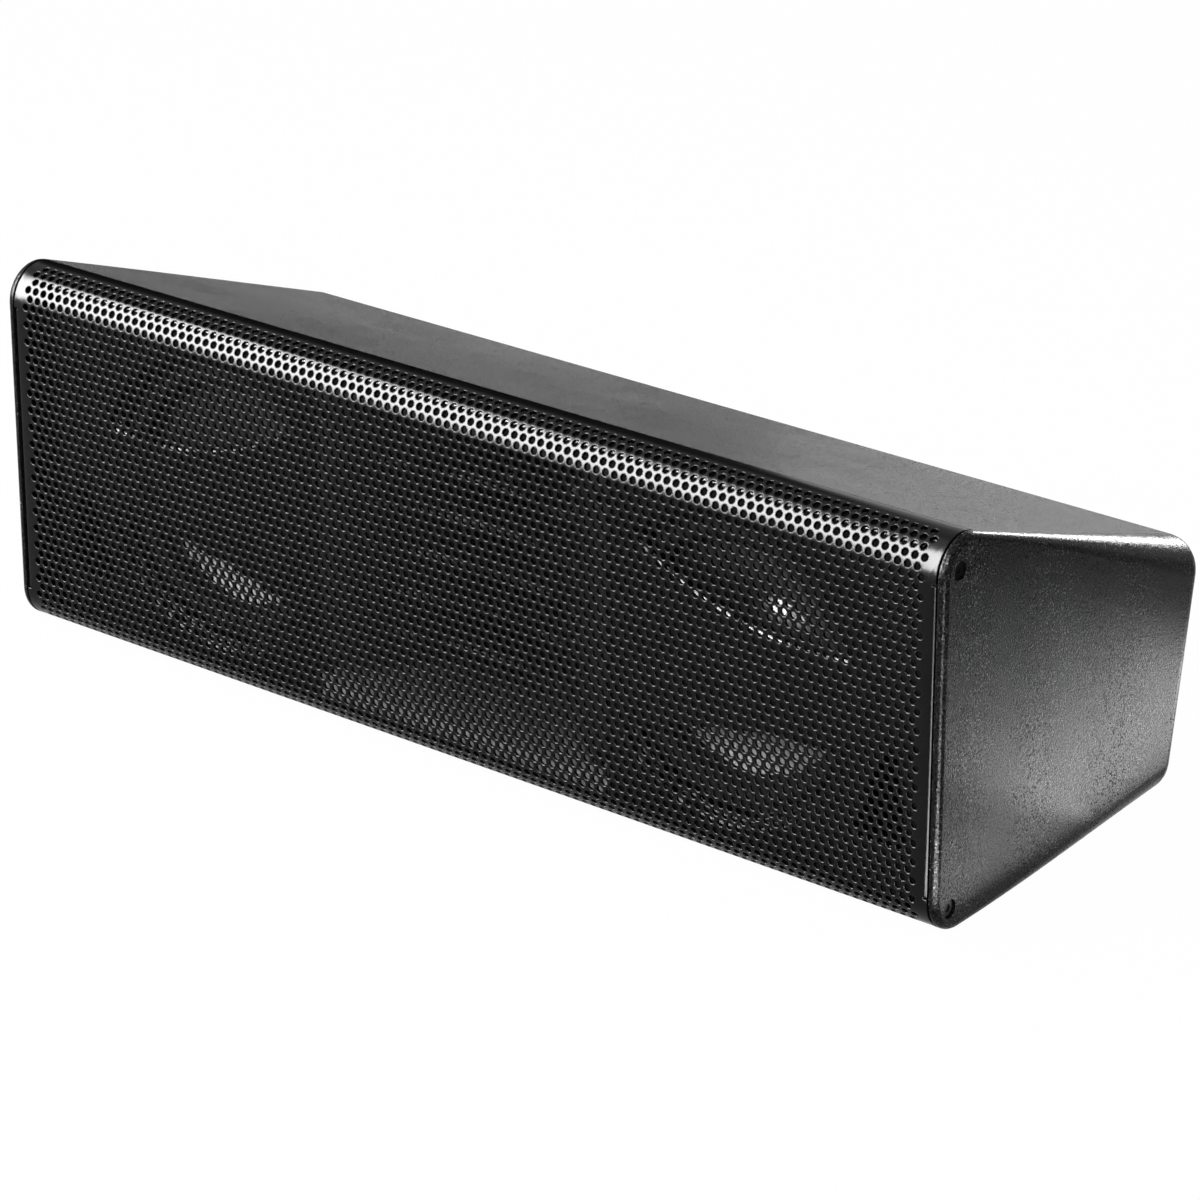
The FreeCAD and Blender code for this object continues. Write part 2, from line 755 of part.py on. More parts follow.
def woofer_frame(x, z, screw_places):
    """Cast basket: flange, windowed cone, spider ledge and back plate."""
    face = woofer_face
    flange_back = face + frame_flange
    end = face + frame_depth
    neck = top_plate_radius
    body = turned([(frame_bore, face), (frame_radius, face), (frame_radius, flange_back),
                   (basket_foot + frame_wall, flange_back), (neck + frame_wall, end),
                   (neck + frame_wall, end + frame_plate), (magnet_bore, end + frame_plate),
                   (magnet_bore, end), (neck, end), (basket_foot, flange_back),
                   (frame_bore, flange_back)], x, z)
    ledge_start, ledge_inner = spider_seat()
    ledge_outer = basket_radius(ledge_start) + frame_wall / 2
    body = body.fuse(tube(ledge_outer, ledge_inner, x, z, ledge_start, ledge_start + frame_wall))
    half = frame_window_width / 2
    cutter = box(-half, half, flange_back + frame_flange, ledge_start - frame_wall, 0, frame_radius)
    for i in range(frame_windows):
        window = cutter.copy()
        window.rotate(Vector(0, 0, 0), BACK, 360 * i / frame_windows)
        body = body.cut(window.translated(Vector(x, 0, z)))
    for place in screw_places:
        body = body.cut(screw_hole(place, BACK * -1, fine_screw, frame_flange))
    return body.removeSplitter()


def woofer_spider(x, z):
    """Pleated suspension cup between the coil former and the ledge of the frame."""
    level = baffle_back + spider_level
    inner = coil_radius + glue
    rim_start = spider_seat()[1]
    fold_start = inner + lip
    folds = 2 * spider_folds
    step = (rim_start - fold_start) / folds
    front = [(inner, level + spider_cup)]
    for i in range(folds + 1):
        front.append((fold_start + i * step, level + spider_cup * (1 - i / folds) - spider_wave * (i % 2)))
    front.append((rim_start + spider_rim, level))
    back = [(radius, depth + spider_wall) for radius, depth in reversed(front)]
    return turned(front + back, x, z)


def woofer_surround(x, z):
    """Half-roll suspension: outer lip on the frame, roll to the front, inner leg and lip over the cone."""
    seat = woofer_face
    outer = roll_radius + roll_half
    inner = roll_radius - roll_half
    axis = seat - roll_wall / 2
    crown = tube(outer, inner, x, z, axis - roll_half - overcut, axis)
    torus = Part.makeTorus(roll_radius, roll_half, Vector(x, axis, z), BACK)
    torus = torus.cut(Part.makeTorus(roll_radius, roll_half - roll_wall, Vector(x, axis, z), BACK))
    outer_lip = tube(outer + lip, outer - roll_wall, x, z, seat - roll_wall, seat)
    leg = tube(inner + roll_wall, inner, x, z, axis, seat + cone_drop)
    inner_lip = tube(inner + roll_wall, inner - lip, x, z, seat + cone_drop - roll_wall, seat + cone_drop)
    return joined([torus.common(crown), outer_lip, leg, inner_lip])


def woofer(side):
    """Pieces of one woofer by name."""
    x, z = side * woofer_offset, woofer_height
    seat = woofer_face
    places = woofer_screw_places(side)
    ring = tube(frame_radius, recess_radius + glue, x, z, baffle_back, woofer_face)
    for place in places:
        ring = ring.cut(screw_hole(place, BACK * -1, fine_screw, frame_flange + gasket))
    cone_top = seat + cone_drop + glue
    rim = roll_radius - roll_half
    edge = rim - lip
    neck = coil_radius + glue
    neck_end = cone_top + cone_depth
    cone = turned([(rim, cone_top), (rim, cone_top + cone_wall), (edge + cone_wall, cone_top + cone_wall),
                   (neck, neck_end + 2 * cone_wall), (neck, neck_end), (edge, cone_top)], x, z)
    cap_seat = cone_top + (edge - cap_radius) / (edge - neck) * cone_depth - glue
    ball = (cap_radius ** 2 + cap_rise ** 2) / (2 * cap_rise)
    centre = Vector(x, cap_seat + ball - cap_rise, z)
    cap = Part.makeSphere(ball, centre).cut(Part.makeSphere(ball - cone_wall, centre))
    cap = cap.common(tube(frame_radius, 0, x, z, seat, cap_seat))
    plate_front = seat + frame_depth + frame_plate
    plate_back = plate_front + top_plate
    coil_start = neck_end - cone_wall
    coil_end = (plate_front + plate_back + winding_length) / 2
    coil_bore = coil_radius - former_wall
    coil = tube(coil_radius, coil_bore, x, z, coil_start, coil_end)
    coil = coil.fuse(tube(coil_radius + winding, coil_bore, x, z, coil_end - winding_length, coil_end))
    magnet_back = plate_back + magnet_height
    pole = tube(coil_bore - coil_gap, 0, x, z, plate_front, magnet_back)
    back = tube(top_plate_radius, 0, x, z, magnet_back, magnet_back + back_plate)
    length = short_thread + frame_flange + gasket
    screws = [screw(place, BACK * -1, fine_screw, length) for place in places]
    plate_bore = coil_radius + winding + coil_gap
    return {
        "gasket": ring,
        "frame": woofer_frame(x, z, places),
        "surround": woofer_surround(x, z),
        "cone": cone,
        "dust_cap": cap,
        "voice_coil": coil.removeSplitter(),
        "spider": woofer_spider(x, z),
        "top_plate": tube(top_plate_radius, plate_bore, x, z, plate_front, plate_back),
        "magnet": tube(magnet_radius, magnet_bore, x, z, plate_back, magnet_back),
        "yoke": joined([pole, back]),
        "screws": Part.makeCompound(screws),
    }


def terminal_pieces():
    """Rear terminal panel: gasket, plate, terminal block, clamp screws and corner screws."""
    rebate = panel_plate + panel_gasket
    seal = plate(panel_width, panel_height, -rebate, -panel_plate)
    seal = seal.cut(plate(panel_width - 2 * panel_rim, panel_height - 2 * panel_rim, -wall, 0))
    cover = plate(panel_width, panel_height, -panel_plate, 0)
    play = 2 * panel_play
    cover = cover.cut(plate(terminal_width + play, terminal_height + play, -wall, wall))
    block = plate(terminal_width, terminal_height, -terminal_depth, -panel_play)
    wide = terminal_width + 2 * panel_border
    high = terminal_height + 2 * panel_border
    block = block.fuse(plate(wide, high, -panel_plate - wall, -panel_plate))
    clamps = []
    for i in range(terminal_ways):
        x = (i - (terminal_ways - 1) / 2) * terminal_pitch
        wire = Vector(x, -terminal_height / 4, -panel_play)
        clamp = Vector(x, terminal_height / 4, -panel_play)
        block = block.cut(Part.makeCylinder(wire_hole, wire_hole_depth, wire, UP * -1))
        block = block.cut(Part.makeCylinder(clamp_radius + hole_clearance, clamp_height, clamp, UP * -1))
        head = Part.makeCylinder(clamp_radius, clamp_height - clamp_drop, clamp - UP * clamp_height, UP)
        low = clamp.z - clamp_drop - slot_depth
        slot = box(-clamp_radius, clamp_radius, clamp.y - slot_half, clamp.y + slot_half, low, clamp.z)
        clamps.append(head.cut(slot.translated(ACROSS * x)))
    screws = []
    for x, y in panel_screw_places():
        place = Vector(x, y, 0)
        head_radius, head_height = fine_screw[1:]
        cover = cover.cut(Part.makeCylinder(head_radius + hole_clearance, head_height, place, UP * -1))
        for_shank = screw_hole(place, UP * -1, fine_screw, wall)
        cover = cover.cut(for_shank)
        seal = seal.cut(for_shank)
        length = rebate - head_height + short_thread
        screws.append(screw(place - UP * head_height, UP * -1, fine_screw, length))
    pieces = {
        "terminal_gasket": seal,
        "terminal_plate": cover,
        "terminal_block": block.removeSplitter(),
        "terminal_clamp_screws": Part.makeCompound(clamps),
        "terminal_plate_screws": Part.makeCompound(screws),
    }
    return {name: on_rear(shape) for name, shape in pieces.items()}


def crossover_pieces():
    """Board on standoffs with inductors, capacitors and resistors."""
    board_low = floor + standoff_height
    board_top = board_low + board_wall
    rear = board_front + board_depth
    board = box(-board_width / 2, board_width / 2, board_front, rear, board_low, board_top)
    standoffs = []
    screws = []
    for x, y in board_screw_places():
        post = Part.makeCylinder(standoff_radius, standoff_height, Vector(x, y, floor), UP)
        hole = screw_hole(Vector(x, y, board_top), UP * -1, fine_screw, standoff_height)
        board = board.cut(hole)
        standoffs.append(post.cut(hole))
        screws.append(screw(Vector(x, y, board_top), UP * -1, fine_screw, short_thread))
    middle = board_front + board_depth / 2
    inductors = []
    for side in (-1, 1):
        centre = Vector(side * (inductor_radius + capacitor_radius), middle, board_top)
        coil = Part.makeCylinder(inductor_radius, inductor_height, centre, UP)
        inductors.append(coil.cut(Part.makeCylinder(inductor_bore, inductor_height, centre, UP)))
    capacitors = []
    for side in (-1, 0, 1):
        x = side * (2 * inductor_radius + 2 * capacitor_radius)
        start = Vector(x, middle - capacitor_length / 2, board_top + capacitor_radius)
        capacitors.append(Part.makeCylinder(capacitor_radius, capacitor_length, start, BACK))
    length, thick, high = resistor_size
    resistors = []
    for side in (-1, 1):
        block = box(-length / 2, length / 2, rear - thick, rear, board_top, board_top + high)
        resistors.append(block.translated(ACROSS * side * (inductor_radius + capacitor_radius)))
    return {
        "crossover_board": board,
        "board_standoffs": Part.makeCompound(standoffs),
        "board_screws": Part.makeCompound(screws),
        "crossover_inductors": Part.makeCompound(inductors),
        "crossover_capacitors": Part.makeCompound(capacitors),
        "crossover_resistors": Part.makeCompound(resistors),
    }


def mounting_inserts():
    """Threaded bushes in the underside."""
    bushes = []
    for x, y in insert_places():
        bush = Part.makeCylinder(insert_radius, insert_height, Vector(x, y, 0), UP)
        bushes.append(bush.cut(Part.makeCylinder(insert_bore, insert_height, Vector(x, y, 0), UP)))
    return Part.makeCompound(bushes)


def damping_pad(side):
    """Foam pad on the floor behind a woofer."""
    inner, outer = sorted((side * pad_start, side * (pad_start + pad_width)))
    return box(inner, outer, pad_front, pad_front + pad_depth, floor, floor + pad_height)


def all_pieces():
    """Every piece of the loudspeaker by name."""
    pieces = {
        "cabinet_shell": cabinet_shell(),
        "grille": grille(),
        "front_baffle": front_baffle(),
        "baffle_gasket": baffle_gasket(),
        "waveguide": waveguide(),
        "mounting_inserts": mounting_inserts(),
        "left_damping_pad": damping_pad(-1),
        "right_damping_pad": damping_pad(1),
        "grille_corner_blocks": Part.makeCompound(corner_blocks()),
    }
    pieces["grille_screws"] = Part.makeCompound(
        [screw(seat, ACROSS * -side, cover_screw, thread_depth) for side, seat in cheek_screw_places()])
    length = ledge_front + thread_depth - hole_spare - baffle_front
    pieces["baffle_screws"] = Part.makeCompound(
        [screw(Vector(x, baffle_front, z), BACK, fine_screw, length) for x, z in baffle_screw_places()])
    seat = horn_stations[0][0] + fine_screw[2]
    length = horn_stations[1][0] + short_thread - seat
    pieces["waveguide_screws"] = Part.makeCompound(
        [screw(Vector(x, seat, z), BACK, fine_screw, length) for x, z in horn_screw_places()])
    for name, side in (("left", -1), ("right", 1)):
        for piece, shape in woofer(side).items():
            pieces[name + "_woofer_" + piece] = shape
    for name, level in zip(("lower", "upper"), tweeter_levels()):
        for piece, shape in tweeter(level).items():
            pieces[name + "_tweeter_" + piece] = shape
    pieces.update(terminal_pieces())
    pieces.update(crossover_pieces())
    return pieces


os.makedirs("parts", exist_ok=True)
pieces = all_pieces()
outer_box = pieces["cabinet_shell"].optimalBoundingBox(False, False)
to_origin = BACK * -((outer_box.YMin + outer_box.YMax) / 2)
for name, shape in pieces.items():
    shape.translated(to_origin).exportStep("parts/" + name + ".step")
    print(name, len(shape.Solids), round(shape.Volume, 1), shape.isValid())
print("overall", outer_box.XLength, outer_box.YLength, outer_box.ZMax - outer_box.ZMin)
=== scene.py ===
# %% [markdown]
# A compact loudspeaker with a perforated front.
# The pieces that carry, join and move are loaded first, as a fixed frame in metres. Everything below
# dresses that frame: a camera, a pale floor and soft lamps, the finishes of the loaded pieces, and new
# meshes for the perforated sheet, the rubber rolls and the spiders, which need more form than the plain
# solids have.

# %% Load the frame
import json
import math

import bmesh
import bpy
from mathutils import Matrix, Vector


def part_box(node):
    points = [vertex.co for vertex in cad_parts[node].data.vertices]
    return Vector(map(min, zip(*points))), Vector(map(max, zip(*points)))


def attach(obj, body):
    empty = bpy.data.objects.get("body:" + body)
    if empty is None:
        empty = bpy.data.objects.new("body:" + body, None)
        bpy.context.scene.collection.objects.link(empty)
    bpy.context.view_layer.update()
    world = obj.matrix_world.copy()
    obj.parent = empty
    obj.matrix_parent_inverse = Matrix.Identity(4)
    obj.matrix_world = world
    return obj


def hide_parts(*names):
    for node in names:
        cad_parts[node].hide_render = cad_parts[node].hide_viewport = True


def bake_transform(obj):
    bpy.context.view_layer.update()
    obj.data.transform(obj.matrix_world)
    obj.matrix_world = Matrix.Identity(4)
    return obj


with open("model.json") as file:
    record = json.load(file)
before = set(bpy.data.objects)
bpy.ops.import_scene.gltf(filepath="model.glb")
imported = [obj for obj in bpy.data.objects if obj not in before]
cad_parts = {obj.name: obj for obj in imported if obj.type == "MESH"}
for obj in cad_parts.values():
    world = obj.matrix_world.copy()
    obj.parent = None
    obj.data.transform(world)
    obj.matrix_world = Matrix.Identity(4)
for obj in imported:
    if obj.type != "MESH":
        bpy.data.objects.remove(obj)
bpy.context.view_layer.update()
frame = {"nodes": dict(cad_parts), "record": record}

mm = 0.001
nodes = frame["nodes"]
scene = bpy.context.scene
scene.view_settings.view_transform = "Standard"

# %% [markdown]
# The camera stands to the right of the front and looks down on it. A long lens keeps the lines almost
# parallel, as in a catalogue picture. Its place and angles were solved from the corners of the cabinet,
# so no shift of the lens is needed.

# %% Camera
camera_place = Vector((1.0524, -1.2865, 0.7508))
camera_turn = math.radians(39.15)
camera_dip = math.radians(23.16)
lens = bpy.data.cameras.new("camera")
lens.sensor_width = 36
lens.lens = 145.5
lens.clip_end = 100
camera = bpy.data.objects.new("camera", lens)
camera.location = camera_place
camera.rotation_euler = (math.pi / 2 - camera_dip, 0, camera_turn)
scene.collection.objects.link(camera)
scene.camera = camera
print("camera looks down by", round(math.degrees(camera_dip), 1), "degrees")

# %% [markdown]
# Finishes are node trees. Writing them as formulas is easier to read than wiring nodes one by one, so one
# small class wraps a socket: adding or multiplying two wires adds a Math node, and the reflected forms
# make 1 - mask work. Any other node comes from the one method, which sets the node's own settings first
# and then fills or links its sockets.


# %% Sockets as formulas
class Wire:
    """A socket of a node tree that can stand in a formula."""

    def __init__(self, socket):
        self.socket = socket
        self.tree = socket.id_data

    @staticmethod
    def node(tree, kind, settings, inputs, output=0):
        """Adds a node: its settings first, then the values or links of its sockets."""
        made = tree.nodes.new(kind)
        for name, value in settings.items():
            setattr(made, name, value)
        for name, value in inputs.items():
            if isinstance(value, Wire):
                value.into(made, name)
            else:
                made.inputs[name].default_value = value
        return Wire(made.outputs[output])

    def into(self, node, name):
        """Links this wire to a socket of a node."""
        self.tree.links.new(self.socket, node.inputs[name])

    def maths(self, operation, first, second):
        """Adds a Math node to the tree of this wire."""
        return Wire.node(self.tree, "ShaderNodeMath", {"operation": operation}, {0: first, 1: second})

    def __add__(self, other):
        return self.maths("ADD", self, other)

    def __sub__(self, other):
        return self.maths("SUBTRACT", self, other)

    def __mul__(self, other):
        return self.maths("MULTIPLY", self, other)

    def __lt__(self, other):
        return self.maths("LESS_THAN", self, other)

    def __gt__(self, other):
        return self.maths("GREATER_THAN", self, other)

    def __rsub__(self, other):
        return self.maths("SUBTRACT", other, self)

    __radd__ = __add__
    __rmul__ = __mul__

    def most(self, other):
        return self.maths("MAXIMUM", self, other)


print("formulas ready")

# %% [markdown]
# The background is white in the picture, and polished things should show that white too. The floor and the
# world therefore glow at a strength of one for the camera and for reflected or refracted rays, while all
# other rays meet a plain pale floor. A share of plain floor stays in the mix, which keeps the shadow.


# %% Floor and world
def grey(shade):
    """Neutral colour of one shade."""
    return (shade, shade, shade, 1)


def new_material(name):
    """Material with nodes: itself, its node tree and its main shader."""
    material = bpy.data.materials.new(name)
    material.use_nodes = True
    return material, material.node_tree, material.node_tree.nodes["Principled BSDF"]


def seen_directly(tree):
    """One for rays from the camera, from a mirror or through glass, and zero for light that scatters."""
    rays = ("Is Camera Ray", "Is Glossy Ray", "Is Transmission Ray")
    seen, mirrored, refracted = (Wire.node(tree, "ShaderNodeLightPath", {}, {}, ray) for ray in rays)
    return seen.most(mirrored).most(refracted)


floor_half = 12.0
floor_glow = 0.985
floor_shade = 0.82
sky_fill = 0.45
white = grey(1)

mesh = bpy.data.meshes.new("floor")
shape = bmesh.new()
bmesh.ops.create_grid(shape, x_segments=1, y_segments=1, size=floor_half)
shape.to_mesh(mesh)
shape.free()
floor = bpy.data.objects.new("floor", mesh)
scene.collection.objects.link(floor)

floor_paint, tree, shader = new_material("floor_paint")
tree.nodes.remove(shader)
pale = Wire.node(tree, "ShaderNodeBsdfDiffuse", {}, {"Color": grey(floor_shade)})
glow = Wire.node(tree, "ShaderNodeEmission", {}, {"Color": white, "Strength": 1.0})
shares = {0: seen_directly(tree) * floor_glow, 1: pale, 2: glow}
Wire.node(tree, "ShaderNodeMixShader", {}, shares).into(tree.nodes["Material Output"], "Surface")
mesh.materials.append(floor_paint)

world = bpy.data.worlds.new("studio")
world.use_nodes = True
scene.world = world
backdrop = world.node_tree.nodes["Background"]
backdrop.inputs["Color"].default_value = white
(sky_fill + (1 - sky_fill) * seen_directly(world.node_tree)).into(backdrop, "Strength")
print("floor", 2 * floor_half, "m wide, scattered light from the sky", sky_fill)

# %% [markdown]
# Black objects are lit by what they mirror. Two broad softboxes, one overhead and one in front on the left,
# give plain light to every colour. The others don't scatter. They only show as reflections, so that each
# draws one line or one glow: the white line along the rounded top of the sheet comes from the large one in
# front on the left, the sheen of the top from the two behind, the light on the rims and edges from two in
# front, and the glow low on the end wall from cards just above the floor on the right.


# %% Lamps
def softbox(name, place, target, size, radiance, scatters=True):
    """Rectangular lamp that faces a target. One that doesn't scatter shows in reflections only."""
    wide, high = size
    data = bpy.data.lights.new(name, "AREA")
    data.shape = "RECTANGLE"
    data.size = wide
    data.size_y = high
    data.energy = radiance * math.pi * wide * high
    lamp = bpy.data.objects.new(name, data)
    lamp.location = place
    lamp.rotation_euler = (Vector(target) - Vector(place)).to_track_quat("-Z", "Y").to_euler()
    lamp.visible_camera = False
    lamp.visible_diffuse = scatters
    scene.collection.objects.link(lamp)
    return lamp


middle = (0, 0, 0.07)
softbox("overhead", (-0.3, -0.5, 1.7), middle, (1.6, 1.0), 2.2)
softbox("key", (-0.45, -1.5, 1.15), middle, (1.4, 0.9), 6.0)
softbox("edge_line", (-0.95, -1.12, 0.84), (0, -0.06, 0.12), (1.5, 1.4), 110.0, scatters=False)
softbox("floor_card", (0.25, 0.105, 0.003), (0.25, 0.105, 1), (0.05, 0.16), 11.0, scatters=False)
softbox("floor_strip", (0.24, -0.02, 0.003), (0.24, -0.02, 1), (0.03, 0.10), 5.5, scatters=False)
softbox("rear_wash", (-0.40, 1.6, 0.3), middle, (0.7, 0.6), 1.2, scatters=False)
softbox("rear_band", (-0.05, 1.6, 0.40), middle, (0.35, 0.45), 46.0, scatters=False)
softbox("front_fill", (0.30, -1.6, 0.50), middle, (0.9, 0.3), 52.0, scatters=False)
softbox("rim_line", (0.75, -1.25, 1.15), middle, (0.9, 0.6), 45.0, scatters=False)
fold_card = softbox("fold_card", (0.35, -0.19, 0.003), (0.35, -0.19, 1), (0.30, 0.05), 65.0, scatters=False)
fold_turn = math.radians(-39)
fold_card.rotation_euler = (math.pi, 0, fold_turn)

# %% [markdown]
# A studio also takes light away. Three black cards that only reflections meet stand where the top and the
# end wall would mirror the white room: a large one and a low one upright behind on the left, and one flat
# on the floor behind on the right.

# %% Black cards
black, _, shader = new_material("black_card")
shader.inputs["Base Color"].default_value = grey(0)
shader.inputs["Specular IOR Level"].default_value = 0


def black_card(name, place, size, tilt):
    """Flat card that darkens what mirrors it, and that nothing else meets."""
    data = bpy.data.meshes.new(name)
    shape = bmesh.new()
    bmesh.ops.create_grid(shape, x_segments=1, y_segments=1, size=0.5)
    laid = Matrix.Translation(place) @ Matrix.Rotation(tilt, 4, "X") @ Matrix.Diagonal((*size, 1, 1))
    bmesh.ops.transform(shape, matrix=laid, verts=shape.verts)
    shape.to_mesh(data)
    shape.free()
    data.materials.append(black)
    card = bpy.data.objects.new(name, data)
    for ray in ("camera", "diffuse", "transmission", "shadow"):
        setattr(card, "visible_" + ray, False)
    scene.collection.objects.link(card)
    print(name, "of", size[0], "by", size[1], "m")


upright = math.pi / 2
black_card("top_card", (-0.80, 0.5, 0.3), (1.12, 0.58), upright)
black_card("low_card", (-0.08, 0.5, 0.027), (0.55, 0.05), upright)
black_card("end_card", (0.65, 0.60, 0.002), (0.62, 1.1), 0.0)

# %% [markdown]
# Most finishes are a colour with a grain. One helper makes the shader, reads Object coordinates, and mixes
# two shades by a noise, so that no surface is a single flat colour. The grain is given as a real size.


# %% A finish with a grain
def object_place(tree):
    """Object coordinates of a surface."""
    return Wire.node(tree, "ShaderNodeTexCoord", {}, {}, "Object")


def noise(tree, grain, detail=2.0):
    """Cloudy noise whose lumps are about one grain across."""
    inputs = {"Vector": object_place(tree), "Scale": 1 / grain, "Detail": detail}
    return Wire.node(tree, "ShaderNodeTexNoise", {}, inputs)


def blended(tree, share, first, second):
    """Two colours, or wires that carry colours, mixed by a share."""
    return Wire.node(tree, "ShaderNodeMix", {"data_type": "RGBA"}, {0: share, 6: first, 7: second}, 2)


def softened(tree, edge):
    """Normal of a surface whose edges are rounded off."""
    return Wire.node(tree, "ShaderNodeBevel", {"samples": 6}, {"Radius": edge})


def bumped(tree, height, depth, edge=0.0):
    """Normal of a surface with a height pattern of some depth, and with softened edges."""
    inputs = {"Height": height, "Distance": depth}
    if edge:
        inputs["Normal"] = softened(tree, edge)
    return Wire.node(tree, "ShaderNodeBump", {}, inputs)


broad_grains = 14


def grained(name, dark, light, rough, grain, depth, metal=0.0, gloss=0.5, uneven=0.12, edge=0.0):
    """Colour between two shades with a fine grain, uneven roughness, a shallow bump and softened edges."""
    material, tree, shader = new_material(name)
    fine = noise(tree, grain)
    broad = noise(tree, grain * broad_grains, 3.0)
    blended(tree, (fine + broad) * 0.5, dark, light).into(shader, "Base Color")
    (rough - uneven / 2 + broad * uneven).into(shader, "Roughness")
    bumped(tree, fine, depth, edge).into(shader, "Normal")
    shader.inputs["Metallic"].default_value = metal
    shader.inputs["Specular IOR Level"].default_value = gloss
    return material


print("grain helper ready, broad noise", broad_grains, "grains across")

# %% [markdown]
# The casting wears a black powder coat. Powder melts into a skin of tiny flat beads, with pinholes and the
# odd bright grain between them. Cells of about a millimetre place the flecks and the pinholes, a finer
# cloud mottles the skin, and both feed the bump, so the sparkle follows the light.

# %% Powder coat
fleck_share = 0.14
fleck_size = 0.34
fleck_rise = 0.2
fleck_metal = 0.1
pit_share = 0.24
pit_size = 0.40
pit_drop = 0.8
pit_rough = 0.5
mottle_grains = 0.7
mottle_contrast = 4
mottle_metal = 0.3
mottle_rough = 0.06
patch_grains = 60
patch_rough = 0.08
coat_relief = 0.13 * mm
coat_gloss = 0.03


def powder_coat(name, grain, dark, light, sparkle, rough):
    """Black speckled coat: a mottled skin with sparse light flecks and pinholes in cells of one grain."""
    material, tree, shader = new_material(name)
    cells = {"Vector": object_place(tree), "Scale": 1 / grain}
    beads = Wire.node(tree, "ShaderNodeTexVoronoi", {}, cells, "Distance")
    tint = Wire.node(tree, "ShaderNodeTexVoronoi", {}, cells, "Color")
    pick = Wire.node(tree, "ShaderNodeSeparateColor", {}, {"Color": tint}, "Red")
    fleck = (pick > 1 - fleck_share) * (beads < fleck_size)
    pit = (pick < pit_share) * (beads < pit_size)
    mottle = noise(tree, grain * mottle_grains, 3.0)
    patches = noise(tree, grain * patch_grains)
    share = ((mottle - 0.5) * mottle_contrast + 0.5).most(0.0)
    skin = blended(tree, share, dark, light)
    blended(tree, fleck, skin, sparkle).into(shader, "Base Color")
    uneven = patches * patch_rough + mottle * mottle_rough + pit * pit_rough
    (rough - mottle_rough + uneven).into(shader, "Roughness")
    (share * (1 - pit) * mottle_metal + fleck * fleck_metal).into(shader, "Metallic")
    relief = mottle + fleck * fleck_rise - pit * pit_drop
    bumped(tree, relief, coat_relief).into(shader, "Normal")
    shader.inputs["Specular IOR Level"].default_value = coat_gloss
    return material


shell_coating = powder_coat("shell_coating", 0.9 * mm, grey(0.0), grey(0.021), grey(0.07), 0.17)
panel_coating = powder_coat("panel_coating", 0.5 * mm, grey(0.012), grey(0.024), grey(0.14), 0.5)
print("made", shell_coating.name, "and", panel_coating.name)

# %% [markdown]
# The sheet is sprayed with a smoother lacquer. It mirrors the lamps along its rounded edges, and it is
# almost black on its flat face. A low gloss level keeps the white floor out of the flat, and a fine
# orange-peel bump breaks up the reflections.

# %% Lacquer of the sheet
grille_coating = grained("grille_coating", grey(0.001), grey(0.004), 0.22, 0.7 * mm, 0.012 * mm,
                         gloss=0.08, uneven=0.06, edge=0.6 * mm)
print("made", grille_coating.name)

# %% [markdown]
# The front behind the sheet is moulded in satin black. Its upper edges get a painted highlight: a mask
# finds them where the softened normal turns part of the way up, towards the lamps, and paints them a
# brighter metal grey, most of all above the level of the wings. The horn is moulded too. Its floor is paler,
# because the light that falls through the holes shows there, and the shade fades out upward.


# %% Mouldings of the front
def upward(tree, vector):
    """Upward part of a vector."""
    return Wire.node(tree, "ShaderNodeSeparateXYZ", {}, {"Vector": vector}, "Z")


def overlaid(material, share, shade):
    """Mixes one more shade into the colour of a finish, and gives back its main shader."""
    shader = material.node_tree.nodes["Principled BSDF"]
    plain = Wire(shader.inputs["Base Color"].links[0].from_socket)
    blended(material.node_tree, share, plain, shade).into(shader, "Base Color")
    return shader


rim_edge = 1.3 * mm
rim_least_turn = 0.12
rim_most_turn = 0.85
low_highlight_share = 0.4
wing_level = 45 * mm
moulding = grained("moulding", grey(0.003), grey(0.007), 0.25, 0.5 * mm, 0.008 * mm,
                   gloss=0.12, edge=rim_edge)
tree = moulding.node_tree
# Painted highlight: edges that face part of the way up get a brighter, more metallic grey, more so above the
# wings.
turned_up = upward(tree, softened(tree, rim_edge))
over_wings = upward(tree, object_place(tree)) > wing_level
rim_highlight = (turned_up > rim_least_turn) * (turned_up < rim_most_turn)
rim_highlight = rim_highlight * (over_wings * (1 - low_highlight_share) + low_highlight_share)
rim_highlight.into(overlaid(moulding, rim_highlight, grey(0.055)), "Metallic")

pale_level = 22 * mm
pale_fade = 10 * mm
horn_moulding = grained("horn_moulding", grey(0.025), grey(0.05), 0.30, 0.5 * mm, 0.01 * mm,
                        gloss=0.08, edge=1.5 * mm)
tree = horn_moulding.node_tree
below = pale_level - upward(tree, object_place(tree))
overlaid(horn_moulding, below * (1 / pale_fade), grey(0.50))
print("made", moulding.name, "and", horn_moulding.name)

# %% [markdown]
# The other pieces behind the sheet and inside the cabinet: pulp, rubber, cloth, foam, metals and the small
# parts of the crossover. Each is the same grain helper with its own two shades, roughness, grain and depth
# of the bump, both in millimetres, and a gloss or metal of its own where it has one.

